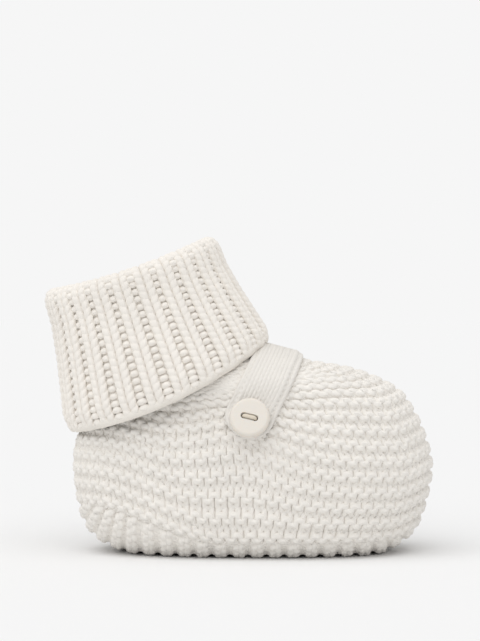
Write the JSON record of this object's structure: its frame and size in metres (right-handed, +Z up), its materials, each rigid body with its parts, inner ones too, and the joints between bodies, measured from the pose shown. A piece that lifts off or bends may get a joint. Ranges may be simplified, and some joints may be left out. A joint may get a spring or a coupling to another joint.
{
  "type": "baby bootie",
  "caption": "Knitted baby bootie with a ribbed ankle, turned-down cuff, instep strap and a two-hole button.",
  "frame": {"origin": "on the floor at the flat rest face of the sole, midway between the cuff's back and the toe", "axes": "+X towards the toe, -Y the side with the button, +Z up"},
  "size_m": [0.1086, 0.0597, 0.088],
  "materials": {
    "knit_cream": "matte knitted cotton",
    "knit_rib": "matte ribbed knitted cotton",
    "knit_strap": "matte smooth knitted cotton",
    "button_cream": "semi-gloss",
    "sewing_thread": "matte thread"
  },
  "bodies": {
    "foot": {"foot_upper": "knit_cream", "sole": "knit_cream", "sole_seam": "knit_cream", "heel_seam": "knit_cream", "cuff_seam": "knit_cream", "ankle_rib": "knit_rib", "instep_strap": "knit_strap", "button": "button_cream", "button_thread": "sewing_thread", "strap_end_stitches": "sewing_thread"},
    "cuff": {"cuff_turnover": "knit_rib", "cuff_back_seam": "knit_rib"}
  },
  "joints": [
    {"name": "cuff_turn_up", "type": "slide", "parent": "foot", "child": "cuff", "axis": [-0.3173, 0, 0.9483], "range_m": [0, 0.028]}
  ]
}
